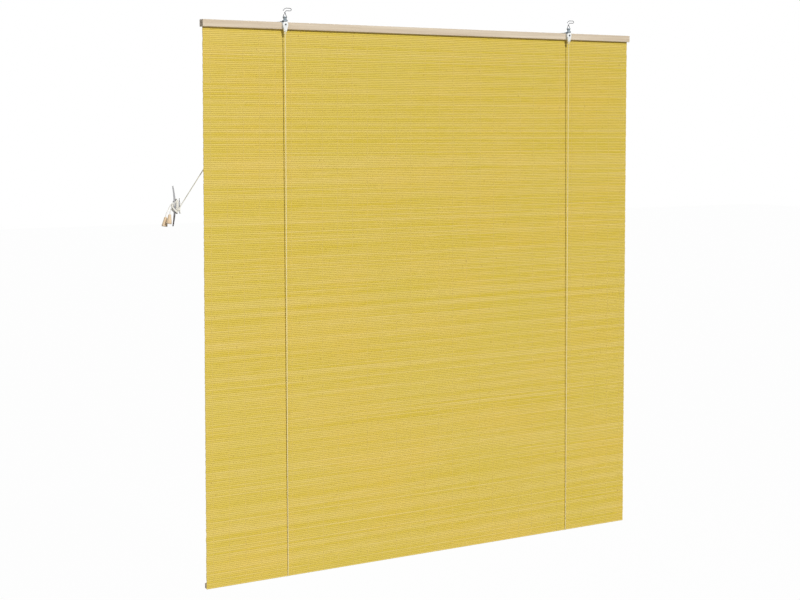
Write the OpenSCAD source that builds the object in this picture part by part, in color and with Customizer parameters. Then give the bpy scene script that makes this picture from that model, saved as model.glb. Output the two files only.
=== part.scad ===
/* [Blind] */
// Width of the head rail
blind_w = 1500; // [1000:10:1800]
// Drop from the top of the rail to the bottom edge of the mat
blind_drop = 1600; // [1000:10:2200]
// How far the mat stops short of each end of the rail
mat_inset = 3; // [2:1:15]

/* [Head rail] */
// Height of the two laths
lath_h = 20; // [18:1:24]
// Depth of one lath
lath_d = 10; // [8:0.5:14]
// Radius of the rounded lath edges
lath_round = 1.5; // [0.5:0.1:2.5]
// Nails that close the laths on the mat
nail_count = 8; // [6:1:14]
// Radius of a nail
nail_r = 0.9; // [0.7:0.1:1.2]

/* [Bamboo mat] */
// Pitch from slat to slat
slat_pitch = 5.25; // [4:0.25:8]
// Thickness of a slat at its flat
slat_t = 2; // [1.4:0.1:3]
// Depth of the groove between two slats, on each face
groove_depth = 0.6; // [0.3:0.05:0.65]
// Width of the bevel that leads into a groove
groove_bevel = 0.9; // [0.4:0.1:1.5]
// How far the first slat lies below the top of the rail
mat_top_gap = 2; // [1:0.5:4]
// Spacing of the warp threads that bind the slats
thread_spacing = 50; // [40:5:150]
// Width of a warp thread
thread_w = 1.2; // [0.8:0.1:2]
// Thickness of a warp thread
thread_t = 0.4; // [0.3:0.1:0.8]

/* [Bottom bar] */
// Height of the bar behind the bottom edge
bar_h = 15; // [10:1:20]
// Depth of the bar
bar_d = 8; // [5:0.5:12]
// Height of the bar above the bottom edge of the mat
bar_rise = 2; // [1:0.5:6]
// Clearance between the bar and what hangs in front of it
bar_gap = 0.3; // [0.3:0.1:1]

/* [Hangers] */
// Distance from each end of the rail to its hanger
hanger_inset = 250; // [100:10:350]
// Width of the sheet-metal saddle over the rail
saddle_w = 16; // [14:1:22]
// Thickness of the saddle sheet
saddle_t = 1.2; // [0.8:0.1:2]
// Length of the saddle's front and back tabs
saddle_tab = 17; // [15:0.5:18]
// Rise of the saddle's tongue above its top
seat_rise = 2; // [1.5:0.1:3]
// Height of the waisted stud on the tongue
stud_h = 12.5; // [10:0.1:16]
// Radius of the stud's foot
stud_r = 8; // [7.5:0.5:10]
// Radius of the stud's top rim
stud_top_r = 6.5; // [6.3:0.1:8]
// Radius of the stud at its waist
stud_waist = 5; // [4:0.5:6]
// Diameter of the hook wire
wire_d = 1.8; // [1.4:0.1:2.4]
// Height of the hanging line above the stud
hook_rise = 23; // [22:0.5:26]
// How far the hooks hang in front of the rail's middle plane
hook_lead = 14; // [12:0.5:16]

/* [Cord anchors] */
// Width of the moulded anchor at its round end
anchor_w = 17; // [15:0.5:20]
// Width of the anchor's nose
nose_w = 8; // [7:0.5:10]
// Height of the anchor
anchor_h = 30; // [28:0.5:36]
// Thickness of the anchor
anchor_d = 7; // [6:0.5:9]
// Radius of the anchor screw's shank
screw_r = 1.6; // [1.4:0.1:2]
// Radius of the anchor screw's head
screw_head_r = 2.6; // [2.4:0.1:3.2]

/* [Pulleys] */
// Drop of the screws and sheaves below the top of the rail
pulley_drop = 9; // [8.5:0.5:10]
// Radius of the sheave at the bottom of its grooves
groove_r = 6; // [5:0.5:7]
// Height of the sheave's flanges above the grooves
flange_h = 3; // [2.6:0.1:3.5]
// Width of one groove
groove_w = 3; // [2.8:0.1:3.6]
// Thickness of a flange
flange_t = 1; // [0.8:0.1:1.5]
// Radius of the axle screw
axle_r = 2; // [1.5:0.1:2.5]
// Radial running clearance of the sheave on its axle
axle_gap = 0.05; // [0.03:0.01:0.09]
// Thickness of the pulley frame's cheeks
cheek_t = 2; // [1.5:0.1:3]
// Side clearance between a sheave and the cheeks
side_gap = 0.3; // [0.3:0.1:0.6]

/* [Cords] */
// Diameter of the cord
cord_d = 2.4; // [2:0.1:2.6]
// Clearance of a cord round the pieces that it passes
cord_gap = 0.3; // [0.2:0.05:0.5]

/* [Cleat] */
// Length of the cleat over its horns
cleat_len = 114; // [90:1:140]
// Length of the cleat's foot
foot_len = 44; // [44:1:60]
// Width of the foot
foot_w = 9; // [8:0.5:12]
// Thickness of the foot
foot_t = 3; // [2:0.5:4]
// Sweep of the horn tips away from the foot
horn_sweep = 6; // [2:0.5:9]
// Distance between the two screw holes
cleat_hole_spacing = 32; // [31:1:34]
// Radius of the screw holes
cleat_hole_r = 1.8; // [1.5:0.1:2.5]
// Height of the horns above the foot
cleat_rise = 14; // [12:0.5:18]
// Radius of the horns at the middle
horn_r = 3.4; // [3:0.1:4.5]
// Radius of the horn tips
horn_tip_r = 1.7; // [1.2:0.1:2.2]

/* [Tassels] */
// Height of a tassel
tassel_h = 26; // [22:0.5:32]
// Radius of a tassel at its rim
tassel_rim_r = 8; // [7:0.25:9]
// Radius of a tassel at its top
tassel_top_r = 4; // [3:0.25:5]
// Lean of the tassels away from the blind, in degrees
tassel_lean = 8; // [0:1:15]

/* [Hidden] */
$fn = 48;

eps = 0.01;
// The hanging line through the two hook eyes is the X axis. The rail and all that hangs on it are drawn
// about the rail's middle plane, which lies behind that line by hook_lead.
rail_top = -(hook_rise + stud_h + saddle_t + seat_rise);
rail_bottom = rail_top - lath_h;
rail_half = lath_d + slat_t / 2;
tab_face = rail_half + saddle_t;
hanger_x = blind_w / 2 - hanger_inset;

// Mat, counted in whole slats
mat_w = blind_w - 2 * mat_inset;
mat_top = rail_top - mat_top_gap;
mat_bottom = rail_top - blind_drop;
mat_len = mat_top - mat_bottom;
slats = round(mat_len / slat_pitch);
pitch = mat_len / slats;
thread_top = rail_bottom - bar_gap;
thread_edge = 20;
threads = floor((mat_w - 2 * thread_edge) / thread_spacing);

// Nails: two outside each hanger, and the others spread between the hangers
nails_outside = 2;
nails_between = nail_count - 2 * nails_outside;
nail_between_x = [for (i = [0 : nails_between - 1]) hanger_x * ((2 * i + 1) / nails_between - 1)];
nail_outside_x = [for (i = [0 : nails_outside - 1], side = [-1, 1])
    side * (hanger_x + hanger_inset * (2 * i + 1) / (2 * nails_outside))];
nail_tip_cover = 3;
nail_head_r = 2 * nail_r;
nail_head_h = 0.6;
nail_z = rail_top - lath_h / 2;

// Bottom bar
bar_front = slat_t / 2 + thread_t + bar_gap;
bar_back = bar_front + bar_d;
bar_bottom = mat_bottom + bar_rise;
bar_round = 1.5;

// Cord anchor
anchor_back = -tab_face;
anchor_front = anchor_back - anchor_d;
anchor_mid = anchor_back - anchor_d / 2;
seat_gap = 0.3;
anchor_top_over = seat_rise - seat_gap;
anchor_z = rail_top + anchor_top_over - anchor_w / 2;
nose_z = rail_top + anchor_top_over - anchor_h + nose_w / 2;
boss_r = 5;
boss_h = 0.8;
screw_sink = 1;
screw_head_h = 1.6;
screw_tip = -slat_t / 2 - nail_tip_cover;
slot_w = 0.8;
slot_deep = 0.8;

// Knot that ties the cord to the nose
cord_r = cord_d / 2;
eyelet_r = cord_r + cord_gap;
knot_half = 2.9;
knot_core = 1.6;
knot_z = nose_z - nose_w / 2 - knot_half - cord_gap;
loop_back = anchor_back + cord_r + cord_gap;
loop_front = anchor_front - cord_r - cord_gap;

// Pulley
sheave_z = rail_top - pulley_drop;
flange_r = groove_r + flange_h;
sheave_w = 2 * groove_w + 3 * flange_t;
sheave_y = tab_face + cheek_t + side_gap;
near_groove_y = sheave_y + flange_t + groove_w / 2;
far_groove_y = near_groove_y + groove_w + flange_t;
cheek_r = flange_r + 1;
cheek_nose_r = 4;
cheek_drop = 14;
bridge_w = 12;
bridge_t = 2.4;
bridge_z = flange_r + 0.6;
far_cheek_y = sheave_y + sheave_w + side_gap;
frame_back = far_cheek_y + cheek_t;
axle_head_r = 4;
axle_head_h = 1.8;
axle_tip = slat_t / 2 + nail_tip_cover;
cord_wind_r = groove_r + cord_r + 0.2;

// Cleat, placed from the left sheave, with its foot on the outer side of the window casing
cleat_x = -hanger_x - 300;
cleat_y = 38;
cleat_z = sheave_z - 507;
horn_out = foot_t + cleat_rise;
horn_steps = 7;
horn_tip_from = 0.97;
horn_tip_steps = [0.985, 0.995, 1];
neck_len = 26;
neck_w = 7;

// Cord wound on the cleat
wrap_side = neck_w / 2 + 2 * cord_d;
wrap_half = neck_len / 2 + 3.5 * cord_d;
wrap_out = horn_out + horn_r + 1.5 * cord_d;
wrap_foot = foot_t + 0.5;

// Cord routes, from the middle of the left sheave (x, z) and the rail's middle plane (y)
pull_angle = 152;
lift_stray = 8;
near_pull = [[-80, 19.5, -141], [-156, 22, -276], [-230.5, 25, -399], [-303, 28.6, -506], [-310, 30.2, -516]];
far_pull = [[-78.5, 23.3, -141], [-154.6, 25.5, -276], [-229.4, 28, -399], [-302, 31.3, -506], [-307.5, 32.9, -513]];
near_tail = [[-320, 32, -498], [-329, 28, -502], [-336, 24, -507], [-345, 19, -518], [-352, 16, -529], [-355, 16, -550]];
far_tail = [[-320, 31, -505], [-329, 25, -506], [-335, 16, -508], [-341, 6, -513], [-346, 0, -521], [-349, 0, -542]];

// Tassels hang from the ends of the tails
near_tassel = [-353, 16, -536];
far_tassel = [-347, 0, -528];
tassel_hole_r = cord_r + cord_gap;
tassel_hollow_r = tassel_rim_r - 2;
tassel_hollow_h = 13;
tassel_steps = 12;
tassel_knot_r = 2.6;
tassel_knot_drop = tassel_h - tassel_hollow_h + tassel_knot_r;

// A round tube swept along points, with one radius or one for each point; ref is a direction that the path never follows
function unit(v) = v / norm(v);
function heading(p, i) =
    i == 0 ? unit(p[1] - p[0])
    : i == len(p) - 1 ? unit(p[i] - p[i - 1])
    : unit(unit(p[i + 1] - p[i]) + unit(p[i] - p[i - 1]));
function ring(c, t, ref, r, n) =
    let (u = unit(cross(ref, t)), v = cross(t, u))
    [for (k = [0 : n - 1]) c + r * (cos(360 * k / n) * u + sin(360 * k / n) * v)];

module tube(p, r, ref, sides = 8) {
    rings = len(p);
    pts = [for (i = [0 : rings - 1]) each ring(p[i], heading(p, i), ref, is_list(r) ? r[i] : r, sides)];
    walls = [for (i = [0 : rings - 2], k = [0 : sides - 1])
        let (a = i * sides + k, b = i * sides + (k + 1) % sides)
        each [[a + sides, b + sides, b], [a + sides, b, a]]];
    first = [for (k = [0 : sides - 1]) k];
    last = [for (k = [sides - 1 : -1 : 0]) (rings - 1) * sides + k];
    polyhedron(points = pts, faces = concat([first], walls, [last]));
}

// Points of an arc about the Y axis at height y, from angle a0 to a1
function arc_points(cx, cz, y, r, a0, a1, steps) =
    [for (i = [0 : steps]) let (a = a0 + (a1 - a0) * i / steps) [cx + r * cos(a), y, cz + r * sin(a)]];

// Flat outlines
module rounded_rect(w, h, r) {
    square([w - 2 * r, h], center = true);
    square([w, h - 2 * r], center = true);
    for (sx = [-1, 1], sy = [-1, 1])
        translate([sx * (w / 2 - r), sy * (h / 2 - r)]) circle(r = r);
}

module arch(w, h, r) {
    translate([-w / 2, 0]) square([w, h - r]);
    translate([-w / 2 + r, 0]) square([w - 2 * r, h]);
    for (sx = [-1, 1]) translate([sx * (w / 2 - r), h - r]) circle(r = r);
}

module teardrop(r1, r2, drop) {
    nz = (r2 - r1) / drop;
    nx = sqrt(1 - nz * nz);
    circle(r = r1);
    translate([0, -drop]) circle(r = r2);
    polygon([[r1 * nx, r1 * nz], [r2 * nx, r2 * nz - drop], [-r2 * nx, r2 * nz - drop], [-r1 * nx, r1 * nz]]);
}

module stadium(w, l) {
    square([w, l - w], center = true);
    for (s = [-1, 1]) translate([0, s * (l - w) / 2]) circle(d = w);
}

// Outline in (y, z) carried along the rail
module along_x(length) rotate([90, 0, 90]) linear_extrude(height = length, center = true) children();

// Outline in (x, z) carried from y0 to y1
module along_y(y0, y1) translate([0, y1, 0]) rotate([90, 0, 0]) linear_extrude(height = y1 - y0) children();

// Round bar along Y
module pin_y(r, y0, y1) translate([0, y0, 0]) rotate([-90, 0, 0]) cylinder(r = r, h = y1 - y0);

// Round bar along X
module pin_x(r, x0, x1) translate([x0, 0, 0]) rotate([0, 90, 0]) cylinder(r = r, h = x1 - x0);

// Outline in (y, z) carried from x0 to x1
module across_x(x0, x1) translate([x0, 0, 0]) rotate([90, 0, 90]) linear_extrude(height = x1 - x0) children();

module at_hanger(side) translate([side * hanger_x, 0, 0]) children();

module on_rail() translate([0, hook_lead, 0]) children();

// Head rail: two laths with the mat between them
module lath(side) {
    translate([0, side * (slat_t + lath_d) / 2, rail_top - lath_h / 2])
        along_x(blind_w) rounded_rect(lath_d, lath_h, lath_round);
}

module nail_places() {
    for (x = concat(nail_between_x, nail_outside_x)) translate([x, 0, nail_z]) children();
}

module front_lath() {
    color("#dcc8ae") difference() {
        lath(-1);
        nail_places() pin_y(nail_r, nail_tip_cover - rail_half, 0);
        for (side = [-1, 1]) at_hanger(side) translate([0, 0, anchor_z]) pin_y(screw_r, -rail_half - 1, screw_tip);
    }
}

module back_lath() {
    color("#d8c3a6") difference() {
        lath(1);
        nail_places() pin_y(nail_r, 0, rail_half + 1);
        for (side = [-1, 1]) at_hanger(side) translate([0, 0, sheave_z]) pin_y(axle_r, axle_tip, rail_half + 1);
    }
}

module lath_nails() {
    color("silver") nail_places() {
        pin_y(nail_r, nail_tip_cover - rail_half, rail_half);
        pin_y(nail_head_r, rail_half, rail_half + nail_head_h);
    }
}

// Mat: one wall of slats, each a flat with bevels that fall into the grooves
function slat_face(side, i) =
    let (z = mat_top - i * pitch, root = slat_t / 2 - groove_depth)
    [[side * root, z], [side * slat_t / 2, z - groove_bevel], [side * slat_t / 2, z - pitch + groove_bevel]];

module bamboo_mat() {
    root = slat_t / 2 - groove_depth;
    front = [for (i = [0 : slats - 1]) each slat_face(-1, i)];
    back = [for (i = [0 : slats - 1]) each slat_face(1, i)];
    back_up = [for (k = [len(back) - 1 : -1 : 0]) back[k]];
    outline = concat(front, [[-root, mat_bottom], [root, mat_bottom]], back_up);
    color("#d6be5f") along_x(mat_w) polygon(outline);
}

module warp_threads() {
    color("#e3d59a")
        for (i = [0 : threads], side = [-1, 1])
            translate([(i - threads / 2) * thread_spacing, side * (slat_t + thread_t) / 2, (thread_top + mat_bottom) / 2])
                cube([thread_w, thread_t, thread_top - mat_bottom], center = true);
}

module bottom_bar() {
    color("#d2b98c") translate([0, (bar_front + bar_back) / 2, bar_bottom + bar_h / 2])
        along_x(mat_w) rounded_rect(bar_d, bar_h, bar_round);
}

// Hangers: a saddle over the rail with a raised tongue in front, a waisted stud on the tongue and a wire hook
module saddle(side) {
    seat_depth = 8;
    color("#9fa8ad") at_hanger(side) difference() {
        union() {
            translate([0, 0, rail_top - saddle_tab]) along_x(saddle_w) difference() {
                arch(2 * tab_face, saddle_tab + saddle_t, lath_round + saddle_t);
                translate([0, -eps]) arch(2 * rail_half, saddle_tab + eps, lath_round);
            }
            translate([0, 0, rail_top + seat_rise]) linear_extrude(height = saddle_t) {
                translate([0, -hook_lead]) circle(r = stud_r);
                translate([-stud_r, -hook_lead]) square([2 * stud_r, hook_lead]);
            }
            translate([-stud_r, -seat_depth, rail_top]) cube([2 * stud_r, seat_depth, seat_rise + saddle_t]);
        }
        translate([0, 0, anchor_z]) pin_y(screw_r, -tab_face - 1, 0);
        translate([0, 0, sheave_z]) pin_y(axle_r, 0, tab_face + 1);
    }
}

leg_x = 4.8;
leg_deep = 0.8;
leg_end_gap = 0.3;
leg_hole_r = wire_d / 2 + 0.05;
stud_rim = 1.6;
waist_low = 0.42;
waist_high = 0.62;

module stud(side) {
    section = [[0, 0], [stud_r, 0], [stud_r, stud_rim], [stud_waist, waist_low * stud_h], [stud_waist, waist_high * stud_h],
        [stud_top_r, stud_h - stud_rim], [stud_top_r, stud_h], [0, stud_h]];
    color("#8d989e") at_hanger(side) translate([0, 0, -hook_rise - stud_h]) difference() {
        rotate_extrude() polygon(section);
        for (s = [-1, 1]) translate([s * leg_x, 0, stud_h - leg_deep - leg_end_gap]) cylinder(r = leg_hole_r, h = 2);
    }
}

// Hook wire: a leg that rises to the crossing and runs round the open eye, and a second leg
module hook(side) {
    wire_r = wire_d / 2;
    arm_z = hook_rise - 6.4;
    top_z = hook_rise + wire_r;
    cross_z = 12;
    foot_z = -leg_deep;
    eye = [[-leg_x, 0, foot_z], [-leg_x, 0, 0.6], [-0.6, 0, cross_z - 1], [0.6, 0, cross_z + 0.6],
        [3.4, 0, arm_z - 0.8], [5.4, 0, arm_z], [17, 0, arm_z], [19.6, 0, arm_z + 1.3], [20.6, 0, (arm_z + top_z) / 2],
        [19.6, 0, top_z - 1.3], [17, 0, top_z], [4, 0, top_z], [0.8, 0, top_z - 0.9], [-1.8, 0, top_z - 3.2],
        [-5.4, 0, top_z - 7.4]];
    leg = [[leg_x, 0, foot_z], [leg_x, 0, 0.6], [0.6, 0, cross_z - 1], [0, 0, cross_z]];
    color("#9aa3a8") at_hanger(side) translate([0, 0, -hook_rise]) {
        tube(eye, wire_r, [0, 1, 0]);
        tube(leg, wire_r, [0, 1, 0]);
    }
}

// Cord anchor: a moulded teardrop screwed to the rail, with an eyelet in its nose
module anchor(side) {
    color("#f4f5f4") at_hanger(side) difference() {
        union() {
            translate([0, 0, anchor_z]) along_y(anchor_front, anchor_back) teardrop(anchor_w / 2, nose_w / 2, anchor_z - nose_z);
            translate([0, 0, anchor_z]) pin_y(boss_r, anchor_front - boss_h, anchor_front);
        }
        translate([0, 0, anchor_z]) {
            pin_y(screw_r, anchor_front - boss_h - 1, 0);
            pin_y(screw_head_r, anchor_front - boss_h - 1, anchor_front - boss_h + screw_sink);
        }
        translate([0, 0, nose_z]) pin_y(eyelet_r, anchor_front - 1, anchor_back + 1);
    }
}

module anchor_screws() {
    head_y = anchor_front - boss_h + screw_sink;
    color("#6b6f73") for (side = [-1, 1]) at_hanger(side) translate([0, 0, anchor_z]) difference() {
        union() {
            pin_y(screw_r, head_y, screw_tip);
            pin_y(screw_head_r, head_y - screw_head_h, head_y);
        }
        for (a = [0, 90]) rotate([0, a, 0])
            translate([0, head_y - screw_head_h, 0]) cube([2 * screw_r, 2 * slot_deep, slot_w], center = true);
    }
}

module cord_knots() {
    loop = [[0, anchor_mid, knot_z], [0, loop_front, knot_z + 2], [0, loop_front, nose_z - 1], [0, loop_front + 1, nose_z],
        [0, loop_back - 1, nose_z], [0, loop_back, nose_z - 1], [0, loop_back, knot_z + 2], [0, anchor_mid, knot_z]];
    color("#ece3c2") for (side = [-1, 1]) at_hanger(side) {
        tube(loop, cord_r, [1, 0, 0]);
        translate([0, anchor_mid, knot_z]) rotate_extrude() {
            intersection() {
                translate([knot_core, 0]) circle(r = knot_half);
                translate([0, -knot_half]) square([2 * knot_half, 2 * knot_half]);
            }
            translate([0, -knot_half]) square([knot_core, 2 * knot_half]);
        }
    }
}

// Pulley: two cheeks and a bridge, a two-groove sheave and its axle screw
module pulley_frame(side) {
    color("#f1f2f0") at_hanger(side) translate([0, 0, sheave_z]) difference() {
        union() {
            for (y = [tab_face, far_cheek_y]) {
                along_y(y, y + cheek_t) teardrop(cheek_r, cheek_nose_r, cheek_drop);
                along_y(y, y + cheek_t) translate([-bridge_w / 2, 0]) square([bridge_w, bridge_z + bridge_t]);
            }
            along_y(tab_face, frame_back) translate([-bridge_w / 2, bridge_z]) square([bridge_w, bridge_t]);
        }
        pin_y(axle_r, tab_face - 1, frame_back + 1);
    }
}

module sheave(side) {
    color("#e4e6e4") at_hanger(side) translate([0, sheave_y, sheave_z]) rotate([-90, 0, 0]) difference() {
        cylinder(r = flange_r, h = sheave_w);
        for (i = [0, 1]) translate([0, 0, flange_t + i * (groove_w + flange_t)]) difference() {
            cylinder(r = flange_r + 1, h = groove_w);
            cylinder(r = groove_r, h = groove_w);
        }
        translate([0, 0, -1]) cylinder(r = axle_r + axle_gap, h = sheave_w + 2);
    }
}

module axle_screws() {
    color("#8a9094") for (side = [-1, 1]) at_hanger(side) translate([0, 0, sheave_z]) difference() {
        union() {
            pin_y(axle_r, axle_tip, frame_back);
            pin_y(axle_head_r, frame_back, frame_back + axle_head_h);
        }
        for (a = [0, 90]) rotate([0, a, 0])
            translate([0, frame_back + axle_head_h, 0]) cube([1.6 * axle_head_r, 2 * slot_deep, slot_w], center = true);
    }
}

// Lift cord: from its knot down the face, a little aside, under the bottom edge and up the back to the sheave
module lift_cord(side) {
    reach = cord_r + cord_gap;
    low = mat_bottom - reach;
    front_y = -slat_t / 2 - thread_t - reach;
    back_y = bar_back + reach;
    turn = 4;
    up_x = cord_wind_r;
    x = lift_stray;
    route = [[0, anchor_mid, knot_z], [0, anchor_mid, knot_z - 8], [x, front_y - 1.2, mat_bottom + 30],
        [x, front_y, mat_bottom + turn], [x, front_y + 0.3 * turn, low + 0.3 * turn], [x, front_y + turn, low],
        [x, back_y - turn, low], [x, back_y - 0.3 * turn, low + 0.3 * turn], [x, back_y, mat_bottom + turn],
        [x, back_y, bar_bottom + 2 * bar_h], [up_x, near_groove_y, sheave_z - 30], [up_x, near_groove_y, sheave_z]];
    color("#ece3c2") at_hanger(side) tube(route, cord_r, [1, 0, 0]);
}

// Cross cord: over the right sheave and along the back of the rail to the left sheave
module cross_cord() {
    from = arc_points(hanger_x, sheave_z, near_groove_y, cord_wind_r, 0, 90, 5);
    shift = [[hanger_x - 60, far_groove_y, sheave_z + cord_wind_r], [-hanger_x + 30, far_groove_y, sheave_z + cord_wind_r]];
    over = arc_points(-hanger_x, sheave_z, far_groove_y, cord_wind_r, 90, pull_angle, 3);
    color("#ece3c2") tube(concat(from, shift, over), cord_r, [0, 1, 0]);
}

// Pull cord: off the left sheave to the cleat, and from the winding to its tassel
function from_sheave(p) = [for (q = p) [q[0] - hanger_x, q[1], q[2] + sheave_z]];

module pull_cord(start, run, tail) {
    color("#ddd6c0") {
        tube(concat(start, from_sheave(run)), cord_r, [0, 1, 0]);
        tube(from_sheave(tail), cord_r, [0, 1, 0]);
    }
}

module left_pull_cord() {
    pull_cord(arc_points(-hanger_x, sheave_z, near_groove_y, cord_wind_r, 0, pull_angle, 7), near_pull, near_tail);
}

module right_pull_cord() {
    last = arc_points(-hanger_x, sheave_z, far_groove_y, cord_wind_r, pull_angle - 1, pull_angle, 1);
    pull_cord([last[1], last[1] + 6 * (last[1] - last[0])], far_pull, far_tail);
}

// Cleat: a foot with two screw holes, a neck and two horns that taper and sweep away from the foot
module cleat_body() {
    translate([cleat_x, cleat_y, cleat_z]) {
        difference() {
            across_x(-foot_t, 0) stadium(foot_w, foot_len);
            for (s = [-1, 1]) translate([0, 0, s * cleat_hole_spacing / 2]) pin_x(cleat_hole_r, -foot_t - 1, 1);
        }
        across_x(-horn_out, -foot_t) stadium(neck_w, neck_len);
        horns();
    }
}

// Radius of the horns at the share t of their reach, with rounded tips
function horn_radius(t) =
    let (over = max(0, abs(t) - horn_tip_from) / (1 - horn_tip_from))
    (horn_r + (horn_tip_r - horn_r) * abs(t)) * sqrt(1 - 0.94 * over * over);

module horns() {
    upper = concat([for (i = [1 : horn_steps]) horn_tip_from * i / horn_steps], horn_tip_steps);
    lower = [for (k = [len(upper) - 1 : -1 : 0]) -upper[k]];
    stations = concat(lower, [0], upper);
    tube([for (t = stations) [-horn_out - horn_sweep * t * t, 0, t * cleat_len / 2]],
        [for (t = stations) horn_radius(t)], [0, 1, 0], 12);
}

module cleat() {
    color("#b4b8bb") cleat_body();
}

module cord_wrap() {
    color("#e6dfca") difference() {
        translate([cleat_x, cleat_y, cleat_z]) across_x(-wrap_out, -wrap_foot) stadium(2 * wrap_side, 2 * wrap_half);
        cleat_body();
    }
}

// Tassel: a turned bell, drilled for the cord and hollow below
function bell_r(s) = tassel_top_r + (tassel_rim_r - tassel_top_r) * (1 - cos(180 * s)) / 2;

module tassel_at(place) {
    translate(from_sheave([place])[0]) rotate([0, tassel_lean, 0]) children();
}

module tassel(place) {
    side = [for (i = [0 : tassel_steps]) [bell_r(i / tassel_steps), -tassel_h * i / tassel_steps]];
    hollow_top = -tassel_h + tassel_hollow_h;
    color("#dcb98c") tassel_at(place) difference() {
        rotate_extrude() polygon(concat([[0, 0]], side, [[0, -tassel_h]]));
        translate([0, 0, -tassel_h - 1]) cylinder(r = tassel_hole_r, h = tassel_h + 2);
        translate([0, 0, -tassel_h - 1]) cylinder(r = tassel_hollow_r, h = tassel_hollow_h - 3 + 1);
        translate([0, 0, hollow_top - 3]) cylinder(r1 = tassel_hollow_r, r2 = tassel_hole_r, h = 3);
    }
}

module tassel_knots() {
    color("#e6dfca") for (place = [near_tassel, far_tassel])
        tassel_at(place) translate([0, 0, -tassel_knot_drop]) sphere(r = tassel_knot_r);
}

on_rail() front_lath();
on_rail() back_lath();
on_rail() lath_nails();
on_rail() bamboo_mat();
on_rail() warp_threads();
on_rail() bottom_bar();
on_rail() saddle(-1);  // left_saddle
on_rail() saddle(1);  // right_saddle
stud(-1);  // left_stud
stud(1);  // right_stud
hook(-1);  // left_hook
hook(1);  // right_hook
on_rail() anchor(-1);  // left_anchor
on_rail() anchor(1);  // right_anchor
on_rail() anchor_screws();
on_rail() cord_knots();
on_rail() pulley_frame(-1);  // left_pulley_frame
on_rail() pulley_frame(1);  // right_pulley_frame
on_rail() sheave(-1);  // left_sheave
on_rail() sheave(1);  // right_sheave
on_rail() axle_screws();
on_rail() lift_cord(-1);  // left_lift_cord
on_rail() lift_cord(1);  // right_lift_cord
on_rail() cross_cord();
on_rail() left_pull_cord();
on_rail() right_pull_cord();
on_rail() cleat();
on_rail() cord_wrap();
on_rail() tassel(near_tassel);  // left_tassel
on_rail() tassel(far_tassel);  // right_tassel
on_rail() tassel_knots();
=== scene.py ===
import bmesh
import bpy
import math
import numpy as np
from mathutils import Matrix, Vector


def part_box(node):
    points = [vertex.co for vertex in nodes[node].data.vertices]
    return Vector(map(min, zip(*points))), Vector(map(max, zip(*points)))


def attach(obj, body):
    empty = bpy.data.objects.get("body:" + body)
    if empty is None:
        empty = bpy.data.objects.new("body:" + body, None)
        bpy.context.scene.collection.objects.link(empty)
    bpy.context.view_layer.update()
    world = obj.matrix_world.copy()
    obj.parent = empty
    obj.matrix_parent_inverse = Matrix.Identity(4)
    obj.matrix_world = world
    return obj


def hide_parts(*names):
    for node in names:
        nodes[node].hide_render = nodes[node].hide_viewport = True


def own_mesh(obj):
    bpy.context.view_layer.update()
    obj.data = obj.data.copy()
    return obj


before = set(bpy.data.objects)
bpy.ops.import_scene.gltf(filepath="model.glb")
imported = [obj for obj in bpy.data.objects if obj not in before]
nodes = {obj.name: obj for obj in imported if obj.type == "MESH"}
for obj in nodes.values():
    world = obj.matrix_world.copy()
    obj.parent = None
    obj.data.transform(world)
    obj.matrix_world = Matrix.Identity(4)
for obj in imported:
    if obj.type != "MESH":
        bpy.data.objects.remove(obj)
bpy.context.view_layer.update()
rng = np.random.default_rng(11)
print("frame loaded,", len(nodes), "nodes")


# mesh helpers: every new piece is a grid of points, rows by columns

def unitRows(v):
    return v / np.maximum(np.linalg.norm(v, axis=-1, keepdims=True), 1e-12)


def gridQuads(rows, cols, wrapRows=False, wrapCols=False):
    # quad corners and the unwrapped (row, column) of each corner, for the uv map
    lastRow, lastCol = (rows if wrapRows else rows - 1), (cols if wrapCols else cols - 1)
    r, c = np.meshgrid(np.arange(lastRow), np.arange(lastCol), indexing="ij")
    steps = [(r, c), (r, c + 1), (r + 1, c + 1), (r + 1, c)]
    quads = np.stack([(a % rows) * cols + b % cols for a, b in steps], axis=-1).reshape(-1, 4)
    spots = np.stack([np.stack(s, axis=-1) for s in steps], axis=-2).reshape(-1, 4, 2)
    return quads, spots


def addPiece(name, points, faces, body, material, uv=None, sharpDeg=None):
    mesh = bpy.data.meshes.new(name)
    mesh.from_pydata(points.reshape(-1, 3).tolist(), [], [list(f) for f in faces])
    mesh.polygons.foreach_set("use_smooth", np.ones(len(mesh.polygons), bool))
    if uv is not None:
        layer = mesh.uv_layers.new(name="pieceUv")
        layer.data.foreach_set("uv", np.asarray(uv, np.float32).ravel())
    if sharpDeg is not None:
        mesh.set_sharp_from_angle(angle=math.radians(sharpDeg))
    mesh.validate()
    mesh.update()
    obj = bpy.data.objects.new(name, mesh)
    bpy.context.scene.collection.objects.link(obj)
    mesh.materials.append(material)
    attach(obj, body)
    return obj


def evenPath(points, step, soften):
    # polyline cut into even steps, then averaged over a window so that its corners become arcs
    p = np.asarray(points, float)
    fine = soften / 8
    s = np.concatenate([[0], np.cumsum(np.linalg.norm(np.diff(p, axis=0), axis=1))])
    t = np.linspace(0, s[-1], max(int(s[-1] / fine), 8) + 1)
    q = np.stack([np.interp(t, s, p[:, k]) for k in range(3)], axis=1)
    half = 8
    w = np.hanning(2 * half + 3)[1:-1]
    w = w / w.sum()
    pad = np.concatenate([2 * q[0] - q[half:0:-1], q, 2 * q[-1] - q[-2:-half - 2:-1]])
    q = np.stack([np.convolve(pad[:, k], w, mode="valid") for k in range(3)], axis=1)
    s = np.concatenate([[0], np.cumsum(np.linalg.norm(np.diff(q, axis=0), axis=1))])
    t = np.linspace(0, s[-1], max(int(s[-1] / step), 4) + 1)
    return np.stack([np.interp(t, s, q[:, k]) for k in range(3)], axis=1)


def pathLength(p):
    return float(np.linalg.norm(np.diff(p, axis=0), axis=1).sum())


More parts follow.
